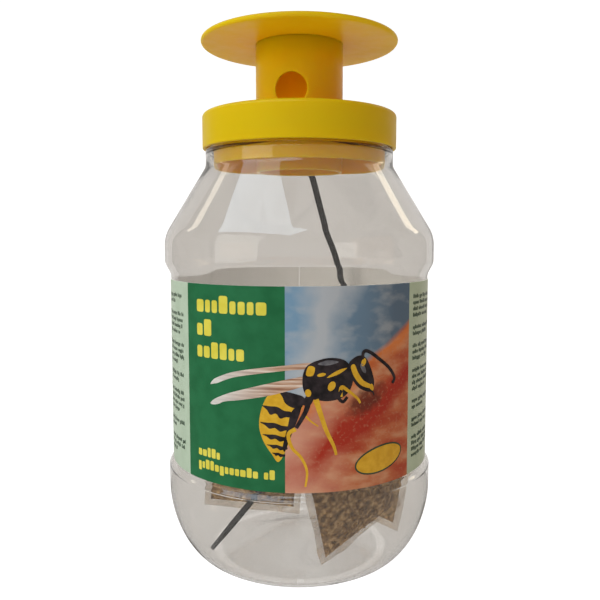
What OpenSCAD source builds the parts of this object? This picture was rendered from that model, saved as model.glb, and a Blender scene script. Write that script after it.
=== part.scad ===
// Wasp bait trap: a clear screw-top jar with a yellow entry tower and rain roof,
// a wrap-around label, three bait sachets and a hanging tie stored inside the jar.
// Millimetres. +Z is up, the origin is the centre of the foot ring on the table.
// The front of the label faces -Y.

/* [Jar] */
// Radius of the widest ring of the jar, under the shoulder
jar_r = 61; // [58:0.5:64]
// Radius of the recessed band that carries the label
panel_r = 58.4; // [56:0.1:58.5]
// Radius of the lower bulge, above the heel
bulge_r = 60.4; // [59:0.1:61]
// Radius of the foot ring
foot_r = 41; // [38:0.5:44]
// Height of the rounded heel
heel_h = 34; // [30:0.5:36]
// Height of the dome pushed up into the base
push_up = 9; // [6:0.5:12]
// Wall of the blown body
wall = 0.8; // [0.7:0.1:1.2]
// Outer radius of the plain neck under the lid
neck_r = 42.4; // [42:0.1:43]
// Outer radius of the threaded mouth
mouth_r = 40.6; // [40.2:0.1:40.8]
// Height of the mouth's rim above the table
rim_z = 197.4; // [197:0.1:197.4]

/* [Lid] */
// Outer radius of the screw lid
lid_r = 43.7; // [43.5:0.1:45]
// Height of the underside of the skirt
skirt_z = 185.3; // [184.8:0.1:185.5]
// Height of the lid's flat top
lid_z = 200.8; // [200.6:0.1:201]
// Rise of the thread in one turn
pitch = 5; // [4.5:0.1:5.5]
// Turns of thread on the mouth
thread_turns = 1.25; // [1:0.05:1.4]

/* [Tower] */
// Outer radius of the entry tube
tube_r = 19.6; // [18:0.1:21]
// Wall of the entry tube
tube_wall = 1.5; // [1.2:0.1:2]
// Height of the tube's open lower end
tube_z = 175.5; // [172:0.5:178]
// Radius of the wasps' entry holes
hole_r = 7; // [5:0.5:7]
// Height of the hole centres above the lid
hole_rise = 8.5; // [8:0.1:12]
// Number of entry holes
hole_count = 3; // [2:1:3]
// Direction of the first hole, in degrees from +X
hole_dir = -101; // [-110:1:-90]
// Extra turn of the last hole, so that no straight line runs in at the first and out at it, in degrees
hole_extra = 14; // [13:1:18]
// Radius of the collar that hangs in the mouth
collar_r = 38.8; // [37:0.1:38.9]
// Height of the collar's lower edge
collar_z = 178; // [175:0.5:180]

/* [Roof] */
// Radius of the rain roof
roof_r = 43.9; // [40:0.1:50]
// Height of the roof's underside
roof_z = 231.3; // [228:0.1:236]
// Thickness of the roof
roof_t = 2.2; // [1.8:0.1:3]

/* [Label] */
// Height of the label's lower edge
label_z = 46.8; // [46:0.1:48]
// Width of the label, along the jar's height
label_h = 80.9; // [78:0.1:81]
// Open gap between the label's ends, at the back
label_gap = 0.6; // [0.5:0.1:4]

/* [Sachets] */
// Width of a sachet
sachet_w = 48; // [44:1:50]
// Length of a sachet, seal to seal
sachet_l = 54; // [50:1:56]
// Thickness of a filled sachet
sachet_t = 15; // [12:0.5:16]

/* [Hanging tie] */
// Width of the tie's strap
tie_w = 3.6; // [2.5:0.1:4.8]
// Thickness of the tie's strap
tie_t = 1.2; // [1:0.1:1.4]

/* [Hidden] */
$fn = 72;

mouth_wall = 1.4;        // wall of the threaded mouth
panel_z0 = 46;           // lower edge of the label band
panel_z1 = 128.5;        // upper edge of the label band
ring_z0 = 136;           // where the widest ring starts
shoulder_lean = 31.2;    // lean of the shoulder cone from the vertical, in degrees
shoulder_round = 15;     // radius between the widest ring and the cone
neck_round = 5;          // radius between the cone and the neck
neck_cone_z = 177.4;     // where the cone's line meets the neck's line
neck_top_z = 184.4;      // top of the plain neck
heel_power = 1.8;        // squareness of the heel; 2 is an ellipse

fit_gap = 0.1;           // radial gap of turning fits
rest_gap = 0.1;          // gap between faces that rest on each other
lid_top_t = 1.8;         // thickness of the lid's top
skirt_wall = 1.7;        // wall of the lid's skirt
thread_depth = 1;        // how far the threads stand out
thick_z = 172;           // the wall thickens from here up to the neck
thick_more = 0.4;        // by this much
thread_z = 189;          // height of the start of the mouth's thread
thread_drop = 1.7;       // the lid's thread runs this far below the mouth's
plate_t = 1.2;           // flange of the insert
collar_wall = 1.4;
barb_h = 1.2;
barb_out = 0.7;
barb_deg = 20;
spigot_h = 6;
spigot_wall = 1.6;
label_t = 0.2;
label_skin = 0.05;       // glue line between the jar and the label
film_t = 0.3;
seal_t = 0.8;            // thickness at a sachet's sealed edge
seal_w = 3;              // width of a sachet's sealed edge

// ---------- helpers ----------

// points on an arc about [cx, cz], from angle a0 to a1, n + 1 of them
function arc(cx, cz, r, a0, a1, n) =
    [for (i = [0:n]) let (a = a0 + (a1 - a0) * i / n) [cx + r * cos(a), cz + r * sin(a)]];

// a smooth step in radius, from r0 at z0 to r1 at z1
function smooth_step(r0, z0, r1, z1, n) =
    [for (i = [0:n]) [r0 + (r1 - r0) * (1 - cos(180 * i / n)) / 2, z0 + (z1 - z0) * i / n]];

function unit(v) = v / norm(v);

// unit normal at point i of an open outline, to the left of its direction
function normal2(p, i) =
    let (a = p[max(i - 1, 0)], b = p[min(i + 1, len(p) - 1)], d = unit(b - a)) [-d.y, d.x];

// the outline moved sideways by the wall's thickness
function inset(p) = [for (i = [0:len(p) - 1]) p[i] + wall_at(p[i].y) * normal2(p, i)];

function reversed(p) = [for (i = [len(p) - 1:-1:0]) p[i]];

// skins a list of rings, each with the same number of points, into one closed solid
module skin(rings) {
    n = len(rings[0]);
    m = len(rings);
    polyhedron(
        points = [for (ring = rings) each ring],
        faces = concat(
            [[for (i = [0:n - 1]) i]],
            [for (j = [0:m - 2], i = [0:n - 1])
                let (k = (i + 1) % n, a = j * n + i, b = j * n + k)
                each [[a, a + n, b + n], [a, b + n, b]]],
            [[for (i = [n - 1:-1:0]) (m - 1) * n + i]]),
        convexity = 10);
}

// ---------- jar ----------

heel_w = bulge_r - foot_r;
dome_r = foot_r - 4;     // where the dome meets the foot ring

// a blown jar is thicker where it was stretched least, at the neck
function wall_at(z) = wall + thick_more * min(1, max(0, (z - thick_z) / 8));

function dome_z(r) = push_up * (1 + cos(180 * r / dome_r)) / 2;

base_line = [for (i = [0:7]) let (r = dome_r * i / 7) [r, dome_z(r)]];

heel_line = [for (i = [0:8]) let (a = 90 * i / 8)
    [foot_r + heel_w * pow(sin(a), 2 / heel_power), heel_h * (1 - pow(cos(a), 2 / heel_power))]];

ring_z1 = neck_cone_z - (jar_r - neck_r) / tan(shoulder_lean) - shoulder_round * tan(shoulder_lean / 2);

side_line = concat(
    smooth_step(bulge_r, panel_z0 - 3, panel_r, panel_z0, 4),
    smooth_step(panel_r, panel_z1, jar_r, ring_z0, 5),
    arc(jar_r - shoulder_round, ring_z1, shoulder_round, 0, shoulder_lean, 4),
    [for (z = [thick_z, thick_z + 3])
        [neck_r + (neck_cone_z - z) * tan(shoulder_lean), z]],
    arc(neck_r + neck_round, neck_cone_z + neck_round * tan(shoulder_lean / 2), neck_round,
        180 + shoulder_lean, 180, 3));

body_line = concat(base_line, heel_line, side_line);

// inside of the body; its first point is brought back onto the axis
inner_line = [for (q = inset(body_line)) [q.x < 0.5 ? 0 : q.x, q.y]];

mouth_in = mouth_r - mouth_wall;

// outside of the neck and mouth, up to the rim
mouth_line = [[neck_r, neck_top_z], [neck_r - 0.4, neck_top_z + 0.6], [mouth_r + 0.4, neck_top_z + 1],
    [mouth_r, neck_top_z + 1.4], [mouth_r, rim_z - 0.5], [mouth_r - 0.5, rim_z]];

// inside of the mouth and neck, down to the thin body wall
throat_line = [[mouth_in + 0.3, rim_z], [mouth_in, rim_z - 0.3], [mouth_in, neck_top_z + 1],
    [neck_r - 1.2, neck_top_z - 1.2]];

// a helical ridge, from r_root out to r_crest, or in to it inside the lid
module thread(r_root, r_crest, z0, turns) {
    steps = round(48 * turns);
    s = r_crest > r_root ? 1 : -1;
    root_w = 0.9 * s;
    crest_w = 0.4 * s;
    skin([for (i = [0:steps])
        let (a = 360 * turns * i / steps, z = z0 + pitch * turns * i / steps)
        [for (q = [[r_root, root_w], [r_crest, crest_w], [r_crest, -crest_w], [r_root, -root_w]])
            [q.x * cos(a), q.x * sin(a), z + q.y]]]);
}

module jar() {
    color([0.9, 0.93, 0.95, 0.35]) {
        rotate_extrude()
            polygon(concat(body_line, mouth_line, throat_line, reversed(inner_line)));
        thread(mouth_r - 0.3, mouth_r + thread_depth, thread_z, thread_turns);
    }
}

// ---------- label ----------

module label() {
    r0 = panel_r + label_skin;
    color([0.75, 0.85, 0.75])
        difference() {
            translate([0, 0, label_z]) cylinder(r = r0 + label_t, h = label_h);
            translate([0, 0, label_z - 1]) cylinder(r = r0, h = label_h + 2);
            translate([-label_gap / 2, 0, label_z - 1]) cube([label_gap, panel_r + 5, label_h + 2]);
        }
}

// ---------- lid ----------

skirt_in = lid_r - skirt_wall;

module screw_lid() {
    top_round = 1.8;
    foot_round = 0.5;
    color([0.95, 0.78, 0.05]) {
        rotate_extrude()
            polygon(concat(
                [[tube_r + fit_gap, lid_z - lid_top_t], [skirt_in, lid_z - lid_top_t], [skirt_in, skirt_z]],
                arc(lid_r - foot_round, skirt_z + foot_round, foot_round, -90, 0, 4),
                arc(lid_r - top_round, lid_z - top_round, top_round, 0, 90, 6),
                [[tube_r + fit_gap, lid_z]]));
        thread(skirt_in + 0.3, skirt_in - thread_depth + 0.1, thread_z - thread_drop, 1);
    }
}

// ---------- entry insert: tube, flange and collar in one moulding ----------

tube_in = tube_r - tube_wall;
plate_z = rim_z + rest_gap;

module radial(dir, r, z) {
    rotate([0, 0, dir]) translate([r, 0, z]) children();
}

module snap_barb() {
    rotate_extrude(angle = barb_deg)
        polygon([[tube_r - 0.2, 0], [tube_r + barb_out, 0], [tube_r - 0.2, barb_h]]);
}

module entry_insert() {
    color([0.93, 0.7, 0.05])
        difference() {
            union() {
                translate([0, 0, tube_z]) cylinder(r = tube_r, h = roof_z - tube_z);
                translate([0, 0, plate_z]) cylinder(r = mouth_r + 0.6, h = plate_t);
                translate([0, 0, collar_z])
                    difference() {
                        cylinder(r = collar_r, h = plate_z + plate_t / 2 - collar_z);
                        translate([0, 0, -1])
                            cylinder(r = collar_r - collar_wall, h = plate_z + 1 - collar_z);
                    }
                for (i = [0:hole_count - 1])
                    rotate([0, 0, hole_dir + (i + 0.5) * 360 / hole_count - barb_deg / 2])
                        translate([0, 0, lid_z + rest_gap]) snap_barb();
            }
            translate([0, 0, tube_z - 1]) cylinder(r = tube_in, h = roof_z - tube_z + 2);
            for (i = [0:hole_count - 1])
                radial(hole_dir + i * 360 / hole_count + (i == hole_count - 1 ? hole_extra : 0), 0, lid_z + hole_rise)
                    rotate([0, 90, 0]) cylinder(r = hole_r, h = tube_r + 5);
        }
}

// ---------- roof ----------

module rain_roof() {
    edge = roof_t / 2;
    spigot_r = tube_in - 0.05;
    color([0.95, 0.78, 0.05]) {
        rotate_extrude()
            polygon(concat(
                [[0, roof_z], [spigot_r - spigot_wall, roof_z], [spigot_r - spigot_wall, roof_z - spigot_h],
                    [spigot_r - 0.4, roof_z - spigot_h], [spigot_r, roof_z - spigot_h + 0.4], [spigot_r, roof_z]],
                arc(roof_r - edge, roof_z + edge, edge, -90, 90, 8),
                [[0, roof_z + roof_t]]));
    }
}

// ---------- sachets ----------

// share of the full thickness at u, v, each from -1 to 1
function swell(u, v) = pow((1 - pow(abs(u), 3)) * (1 - pow(abs(v), 3)), 0.6);

// a pillow of w by l about o, with its faces along x and y and its thickness along x cross y
module pillow(o, x, y, w, l, t, edge, n = 8) {
    z = cross(x, y);
    side = [for (i = [-n:n]) i / n];
    thick = function (u, v) edge / 2 + (t - edge) / 2 * swell(u, v);
    spot = function (u, v, s) o + x * u * w / 2 + y * v * l / 2 + z * s * thick(u, v);
    m = 2 * n + 1;
    top = [for (v = side, u = side) spot(u, v, 1)];
    low = [for (v = side, u = side) spot(u, v, -1)];
    rim = concat([for (i = [0:m - 2]) i], [for (i = [0:m - 2]) i * m + m - 1],
        [for (i = [m - 1:-1:1]) (m - 1) * m + i], [for (i = [m - 1:-1:1]) i * m]);
    polyhedron(
        points = concat(top, low),
        faces = concat(
            [for (j = [0:m - 2], i = [0:m - 2]) let (a = j * m + i)
                each [[a, a + m, a + m + 1], [a, a + m + 1, a + 1]]],
            [for (j = [0:m - 2], i = [0:m - 2]) let (a = m * m + j * m + i)
                each [[a, a + m + 1, a + m], [a, a + 1, a + m + 1]]],
            [for (i = [0:len(rim) - 1]) let (a = rim[i], b = rim[(i + 1) % len(rim)])
                each [[a, b, b + m * m], [a, b + m * m, a + m * m]]]),
        convexity = 10);
}

module sachet_film(o, x, y) {
    color([0.8, 0.78, 0.7, 0.4])
        difference() {
            pillow(o, x, y, sachet_w, sachet_l, sachet_t, seal_t);
            pillow(o, x, y, sachet_w - 2 * seal_w, sachet_l - 2 * seal_w, sachet_t - 2 * film_t, 0.4, 6);
        }
}

module sachet_bait(o, x, y) {
    color([0.48, 0.4, 0.25])
        pillow(o, x, y, sachet_w - 2 * seal_w - 1, sachet_l - 2 * seal_w - 1, sachet_t - 4 * film_t, 0.2, 6);
}

// centre and two edge directions of each sachet
left_at = [-21.5, 16.2, 38];
left_x = unit([1, -0.05, -0.08]);
left_y = unit(cross(cross(left_x, [0, 0.17, 0.985]), left_x));

front_corner = [9.3, -31.2, 3.2];
front_y = unit([-0.155, -0.457, 0.875]);
front_x = unit(cross(cross(front_y, [0.789, 0.477, 0.389]), front_y));
front_at = front_corner + front_x * sachet_w / 2 + front_y * sachet_l / 2;

right_corner = [47, -2.5, 5.8];
right_y = unit([0.175, 0, 0.985]);
right_x = unit(cross(cross(right_y, [-0.75, 0.65, 0.12]), right_y));
right_at = right_corner + right_x * sachet_w / 2 + right_y * sachet_l / 2;

// ---------- hanging tie ----------

// route of the strap's middle line, from the head down to the tip of the tail
tie_route = [[1.5, 26, 186], [3.8, 27.4, 181], [6.6, 29.6, 175], [10, 33.4, 163], [14, 38, 149],
    [18.5, 41.5, 137], [22, 44, 125], [26, 45, 113], [27.5, 43, 101], [26, 37, 89], [20.5, 26, 76],
    [11.5, 12, 63], [0.5, -2.5, 51.5], [-11, -14.5, 40.5], [-21, -23.5, 30], [-30, -29.3, 20.5],
    [-37.6, -33.6, 12.5]];

// Catmull-Rom point at t within the span that starts at point i
function on_route(p, i, t) =
    let (a = p[max(i - 1, 0)], b = p[i], c = p[i + 1], d = p[min(i + 2, len(p) - 1)])
    0.5 * (2 * b + (c - a) * t + (2 * a - 5 * b + 4 * c - d) * t * t + (3 * b - a - 3 * c + d) * t * t * t);

tie_line = concat([for (i = [0:len(tie_route) - 2], k = [0:3]) on_route(tie_route, i, k / 4)],
    [tie_route[len(tie_route) - 1]]);

// the strap lies flat against the plane that its bow lies in
tie_across = unit([0.62, -0.75, 0.15]);

function tie_ring(i) =
    let (last = len(tie_line) - 1,
        d = unit(tie_line[min(i + 1, last)] - tie_line[max(i - 1, 0)]),
        across = unit(tie_across - d * (tie_across * d)),
        up = cross(d, across),
        w = tie_w / 2 * (i > last - 6 ? 1 - 0.09 * (i - last + 6) : 1),
        h = tie_t / 2)
    [for (q = [[-w, -h], [w, -h], [w, h], [-w, h]]) tie_line[i] + across * q.x + up * q.y];

module cable_tie() {
    head_l = 6.5;
    head_w = 6;
    head_t = 4.6;
    color([0.08, 0.08, 0.09]) {
        skin([for (i = [0:len(tie_line) - 1]) tie_ring(i)]);
        translate(tie_route[0] + [-0.6, -0.4, 2.6])
            rotate([0, -21, -50])
                difference() {
                    cube([head_w, head_t, head_l], center = true);
                    translate([0, 0.6, 0.4]) cube([tie_w + 0.4, head_t + 2, tie_t + 0.6], center = true);
                }
    }
}

// ---------- assembly ----------

jar();
label();
screw_lid();
entry_insert();
rain_roof();
cable_tie();
sachet_film(left_at, left_x, left_y);  // sachet_left_film
sachet_bait(left_at, left_x, left_y);  // sachet_left_bait
sachet_film(front_at, front_x, front_y);  // sachet_front_film
sachet_bait(front_at, front_x, front_y);  // sachet_front_bait
sachet_film(right_at, right_x, right_y);  // sachet_right_film
sachet_bait(right_at, right_x, right_y);  // sachet_right_bait
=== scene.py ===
"""Wasp bait trap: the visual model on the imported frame.

Lengths in the mesh helpers are in mm, as in the CAD source; lights, camera and stage are in metres.
"""
import math
import random

import bmesh
import bpy
from mathutils import Matrix, Vector, noise
from mathutils.bvhtree import BVHTree


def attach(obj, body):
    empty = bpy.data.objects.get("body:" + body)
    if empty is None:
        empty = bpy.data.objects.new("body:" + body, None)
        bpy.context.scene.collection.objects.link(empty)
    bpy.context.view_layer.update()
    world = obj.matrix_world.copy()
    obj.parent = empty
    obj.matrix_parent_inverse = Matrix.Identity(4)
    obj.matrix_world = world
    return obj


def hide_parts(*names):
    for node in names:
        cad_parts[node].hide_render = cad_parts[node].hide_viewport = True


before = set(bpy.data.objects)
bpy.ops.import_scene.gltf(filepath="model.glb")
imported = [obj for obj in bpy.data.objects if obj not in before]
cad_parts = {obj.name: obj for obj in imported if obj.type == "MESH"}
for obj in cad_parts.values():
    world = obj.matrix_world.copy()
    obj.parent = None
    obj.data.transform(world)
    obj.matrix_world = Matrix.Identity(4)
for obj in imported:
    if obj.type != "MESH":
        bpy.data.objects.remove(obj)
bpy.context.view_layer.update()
MM = 0.001
scene = bpy.context.scene
scene.view_settings.view_transform = "Standard"

# ---------------------------------------------------------------- camera

cam_data = bpy.data.cameras.new("camera")
cam = bpy.data.objects.new("camera", cam_data)
scene.collection.objects.link(cam)
cam.location = (0.0003, -0.3188, 0.1475)
cam.rotation_euler = (math.radians(90 - 5.476), 0, 0)
cam_data.sensor_width = 36
cam_data.lens = 41.3
cam_data.clip_start = 0.01
scene.camera = cam

# ---------------------------------------------------------------- materials


class Nodes:
    """A small helper round one material's node tree."""

    def __init__(self, name):
        self.mat = bpy.data.materials.new(name)
        self.mat.use_nodes = True
        self.tree = self.mat.node_tree
        self.bsdf = self.tree.nodes["Principled BSDF"]

    def add(self, kind, **sockets):
        node = self.tree.nodes.new("ShaderNode" + kind)
        for key, value in sockets.items():
            self.set(node, key, value)
        return node

    def set(self, node, key, value):
        if isinstance(key, str) and key not in node.inputs:
            key = key.replace("_", " ")
        socket = node.inputs[key]
        if isinstance(value, bpy.types.NodeSocket):
            self.tree.links.new(value, socket)
        else:
            socket.default_value = value

    def shader(self, **sockets):
        for key, value in sockets.items():
            self.set(self.bsdf, key, value)

    def place(self):
        return self.add("TexCoord").outputs["Object"]

    def stretched(self, x, y, z):
        return self.add("Mapping", Vector=self.place(), Scale=(x, y, z)).outputs[0]

    def noise(self, scale, detail=3.0, vector=None, rough=0.5):
        node = self.add("TexNoise", Vector=vector or self.place(), Scale=scale, Detail=detail,
                        Roughness=rough)
        return node.outputs["Fac"]

    def ramp(self, fac, *stops):
        node = self.add("ValToRGB", Fac=fac)
        ramp = node.color_ramp
        while len(ramp.elements) < len(stops):
            ramp.elements.new(0.5)
        for e, (pos, col) in zip(ramp.elements, stops):
            e.position, e.color = pos, (*col, 1)
        return node.outputs["Color"]

    def span(self, fac, low, high, low_in=0.0, high_in=1.0):
        node = self.add("MapRange", Value=fac)
        node.inputs["From Min"].default_value = low_in
        node.inputs["From Max"].default_value = high_in
        node.inputs["To Min"].default_value = low
        node.inputs["To Max"].default_value = high
        return node.outputs["Result"]

    def math(self, op, a, b=0.0):
        node = self.add("Math")
        node.operation = op
        self.set(node, 0, a)
        self.set(node, 1, b)
        return node.outputs[0]

    def mix(self, fac, a, b, blend="MIX"):
        node = self.tree.nodes.new("ShaderNodeMix")
        node.data_type, node.blend_type = "RGBA", blend
        for socket, value in ((node.inputs[0], fac), (node.inputs[6], a), (node.inputs[7], b)):
            if isinstance(value, bpy.types.NodeSocket):
                self.tree.links.new(value, socket)
            elif isinstance(value, tuple):
                socket.default_value = (*value, 1)
            else:
                socket.default_value = value
        return node.outputs[2]

    def bump(self, height, strength, distance):
        node = self.add("Bump", Height=height, Strength=strength, Distance=distance)
        self.set(self.bsdf, "Normal", node.outputs[0])
        return self


def plastic(name, dark, light, rough, sss=0.0):
    """Moulded plastic: faint colour drift, a slow waviness, and gloss that varies with handling."""
    n = Nodes(name)
    drift = n.noise(22, 2)
    scuff = n.noise(170, 4)
    n.shader(
        Base_Color=n.ramp(drift, (0.3, dark), (0.7, light)),
        Roughness=n.span(scuff, rough - 0.05, rough + 0.08, 0.3, 0.7),
        IOR=1.45,
        Specular_IOR_Level=0.3,
        Subsurface_Weight=sss,
        Subsurface_Scale=0.007,
        Subsurface_Radius=(1.0, 0.65, 0.04),
    )
    return n.bump(n.noise(60, 2), 0.12, 0.0006).mat


def pet():
    """Clear blown PET, with the slight waviness of its wall."""
    n = Nodes("clear_pet")
    wavy = n.noise(26, 2, n.stretched(1, 1, 0.45))
    n.shader(
        Base_Color=(0.685, 0.665, 0.64, 1),
        Transmission_Weight=1.0,
        IOR=1.5,
        Roughness=n.span(n.noise(90, 4), 0.0, 0.05, 0.45, 0.8),
    )
    return n.bump(wavy, 0.3, 0.0012).mat


def film(name, alpha, dark, light):
    """Thin film, clouded by dust from the fill: see-through, with a broken gloss."""
    n = Nodes(name)
    cloud = n.noise(110, 4)
    crinkle = n.noise(240, 4, rough=0.6)
    n.shader(
        Base_Color=n.ramp(cloud, (0.3, dark), (0.7, light)),
        Alpha=n.span(n.noise(160, 3), alpha - 0.12, alpha + 0.12, 0.3, 0.7),
        Roughness=n.span(crinkle, 0.22, 0.4, 0.3, 0.7),
        IOR=1.5,
        Specular_IOR_Level=0.2,
    )
    return n.bump(crinkle, 0.35, 0.0006).mat


def bait():
    """Dried plant granules: browns that change from one granule to the next."""
    n = Nodes("bait_granules")
    each = n.noise(420, 1)
    grain = n.noise(1700, 4, rough=0.7)
    brown = n.ramp(each, (0.34, (0.08, 0.038, 0.014)), (0.46, (0.24, 0.13, 0.05)),
                   (0.56, (0.40, 0.24, 0.10)), (0.68, (0.66, 0.44, 0.21)))
    pitted = n.mix(n.span(grain, 0.0, 0.7, 0.45, 0.72), brown, (0.05, 0.028, 0.012))
    n.shader(Base_Color=pitted, Roughness=0.85)
    return n.bump(grain, 0.6, 0.0004).mat


def nylon():
    """Black tie nylon, brushed along its length by the mould."""
    n = Nodes("black_nylon")
    n.shader(
        Base_Color=n.ramp(n.noise(300, 3), (0.3, (0.008, 0.008, 0.009)),
                          (0.7, (0.02, 0.02, 0.022))),
        Roughness=n.span(n.noise(900, 3), 0.28, 0.5, 0.3, 0.7),
    )
    return n.bump(n.noise(1500, 3), 0.2, 0.0004).mat


def ink(name, dark, light, rough=0.36, scale=140.0):
    """Print on coated paper: fine mottle from the screen and the paper's tooth."""
    n = Nodes(name)
    tooth = n.noise(1500, 3)
    n.shader(
        Base_Color=n.ramp(n.noise(scale, 4), (0.35, dark), (0.65, light)),
        Roughness=n.span(tooth, rough - 0.05, rough + 0.08, 0.3, 0.7),
        IOR=1.45,
        Specular_IOR_Level=0.35,
    )
    return n.bump(tooth, 0.12, 0.0002).mat


def picture():
    """The printed picture's ground: hazy sky over the flank of a ripe fruit. UV is in units of 100 mm."""
    n = Nodes("label_picture")
    uv = n.add("UVMap").outputs[0]
    xy = n.add("SeparateXYZ", Vector=uv)
    u, v = xy.outputs[0], xy.outputs[1]

    def along(ku, kv, c):
        """ku * u + kv * v + c, so zero on a straight line across the label."""
        return n.math("ADD", n.math("ADD", n.math("MULTIPLY", u, ku), n.math("MULTIPLY", v, kv)), c)

    def near(d, half):
        """1 where d is zero, and down to 0 at half either side."""
        return n.span(n.math("ABSOLUTE", d), 1.0, 0.0, 0.0, half)

    def mapped(**how):
        return n.add("Mapping", Vector=uv, **how).outputs[0]

    wander = n.math("MULTIPLY", n.math("SUBTRACT", n.noise(5.0, 4, uv), 0.5), 0.22)
    u_wander = n.math("ADD", u, wander)
    sky = n.mix(n.span(u_wander, 0.0, 1.0, 0.02, 0.42), (0.19, 0.33, 0.48), (0.11, 0.17, 0.25))
    streak = n.math("MULTIPLY", near(n.math("ADD", along(1, -0.25, 0.19), wander), 0.13), 1.25)
    sky = n.mix(streak, sky, (0.46, 0.50, 0.55))
    wisp = n.noise(7.0, 6, mapped(Location=(1.7, 0.4, 0), Scale=(1, 1.8, 1)))
    sky = n.mix(n.span(wisp, 0.0, 0.5, 0.5, 0.68), sky, (0.47, 0.50, 0.53))
    # the fruit: peach flesh, pale where the light comes from, a deep red crease and a gnawed hollow
    blotch = n.noise(6.0, 5, mapped(Rotation=(0, 0, 0.6), Scale=(1, 2.2, 1)))
    skin = n.ramp(blotch, (0.36, (0.46, 0.07, 0.025)), (0.5, (0.54, 0.15, 0.06)),
                  (0.66, (0.66, 0.34, 0.19)))
    skin = n.mix(n.span(u_wander, 0.8, 0.0, -0.08, 0.24), skin, (0.72, 0.40, 0.29))
    crease = n.math("ADD", along(-0.68, 1, -0.567), wander)
    deeper = n.math("MULTIPLY", near(crease, 0.10), n.span(u, 0.5, 1.3, 0.0, 0.13))
    skin = n.mix(deeper, skin, (0.42, 0.03, 0.012))
    glow = n.math("ADD", along(-0.58, 1, -0.80), wander)
    skin = n.mix(n.math("MULTIPLY", near(glow, 0.06), 0.9), skin, (0.72, 0.20, 0.04))
    hollow = n.math("ADD", n.math("POWER", n.math("DIVIDE", along(1, 0, -0.28), 0.085), 2.0),
                    n.math("POWER", n.math("DIVIDE", along(-0.35, 1, -0.725), 0.05), 2.0))
    ragged = n.math("MULTIPLY", n.math("SUBTRACT", n.noise(30, 4, uv), 0.5), 2.4)
    skin = n.mix(n.span(n.math("ADD", hollow, ragged), 0.85, 0.0, 0.2, 1.5), skin, (0.13, 0.025, 0.015))
    skin = n.mix(n.span(n.noise(70, 2, uv), 0.0, 0.3, 0.55, 0.75), skin, (0.60, 0.36, 0.22))
    edge = n.math("ADD", along(-0.58, 1, -0.835), n.math("MULTIPLY", n.noise(7, 2, uv), 0.03))
    n.shader(
        Base_Color=n.mix(n.span(edge, 0.0, 1.0, -0.012, 0.016), skin, sky),
        Roughness=0.36,
        IOR=1.45,
        Specular_IOR_Level=0.35,
    )
    return n.bump(n.noise(1500, 3), 0.12, 0.0002).mat


def wing():
    """The wasp's wings in print: pale at the tips, veined and warmer towards the body."""
    n = Nodes("wing_print")
    uv = n.add("UVMap").outputs[0]
    u = n.add("SeparateXYZ", Vector=uv).outputs[0]
    along = n.add("Mapping", Vector=uv, Rotation=(0, 0, -0.27), Scale=(5, 90, 1)).outputs[0]
    vein = n.noise(1.0, 4, along)
    body = n.ramp(vein, (0.36, (0.30, 0.13, 0.07)), (0.5, (0.58, 0.36, 0.25)),
                  (0.66, (0.80, 0.66, 0.56)))
    tip = n.span(u, 0.8, 0.0, -0.36, -0.08)
    n.shader(Base_Color=n.mix(tip, body, (0.74, 0.74, 0.72)), Roughness=0.36)
    return n.bump(vein, 0.05, 0.0002).mat


def pale():
    """The stage's plain white."""
    n = Nodes("stage_white")
    n.shader(
        Base_Color=(0.4, 0.4, 0.4, 1),
        Roughness=0.9,
        Emission_Color=(1, 1, 1, 1),
        Emission_Strength=0.9,
    )
    return n.mat


YELLOW = plastic("yellow_lid_plastic", (0.76, 0.48, 0.001), (0.84, 0.55, 0.002), 0.38, 0.4)
AMBER = plastic("yellow_tube_plastic", (0.93, 0.43, 0.001), (0.97, 0.48, 0.002), 0.34, 0.9)
PET, BAIT, NYLON = pet(), bait(), nylon()
FILM = film("sachet_film", 0.14, (0.22, 0.13, 0.06), (0.42, 0.28, 0.14))
SEAL_FILM = film("sachet_seal_film", 0.5, (0.24, 0.15, 0.065), (0.46, 0.31, 0.155))
PAPER = ink("paper_white", (0.90, 0.90, 0.87), (0.95, 0.94, 0.92))
paper_glow = PAPER.node_tree.nodes["Principled BSDF"].inputs
paper_glow["Emission Color"].default_value = (1.0, 0.97, 0.92, 1)
paper_glow["Emission Strength"].default_value = 0.32  # daylight that comes through the thin paper
PALE_GREEN = ink("print_pale_green", (0.47, 0.58, 0.44), (0.52, 0.63, 0.49))
GREEN = ink("print_green", (0.012, 0.135, 0.048), (0.018, 0.165, 0.062))
GOLD = ink("print_gold", (0.72, 0.62, 0.06), (0.82, 0.72, 0.10))
DARK = ink("print_dark", (0.03, 0.06, 0.035), (0.06, 0.10, 0.06))
BLACK = ink("print_black", (0.012, 0.010, 0.012), (0.04, 0.03, 0.035), scale=300)
AMBER_INK = ink("print_amber", (0.66, 0.36, 0.015), (0.78, 0.46, 0.03), scale=300)
GREY_INK = ink("print_grey", (0.10, 0.10, 0.12), (0.22, 0.22, 0.24), scale=300)
SKY_FRUIT, WING = picture(), wing()

# ---------------------------------------------------------------- mesh helpers


def piece(name, verts, faces, mat, body, slot, node=None, smooth=35):
    """One object from mm vertices, riding on its body."""
    mesh = bpy.data.meshes.new(name)
    mesh.from_pydata([tuple(c * MM for c in v) for v in verts], [], faces)
    mesh.validate()
    obj = bpy.data.objects.new(name, mesh)
    scene.collection.objects.link(obj)
    return finish_piece(obj, mat, body, slot, node, smooth)


def finish_piece(obj, mat, body, slot, node=None, smooth=35):
    """Material, shading and body of one object, and the CAD node that it replaces; its slot is not used."""
    mesh = obj.data
    mesh.materials.clear()
    mesh.materials.append(mat)
    if smooth:
        mesh.shade_smooth()
        mesh.set_sharp_from_angle(angle=math.radians(smooth))
    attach(obj, body)
    if node:
        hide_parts(node)
    return obj


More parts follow.
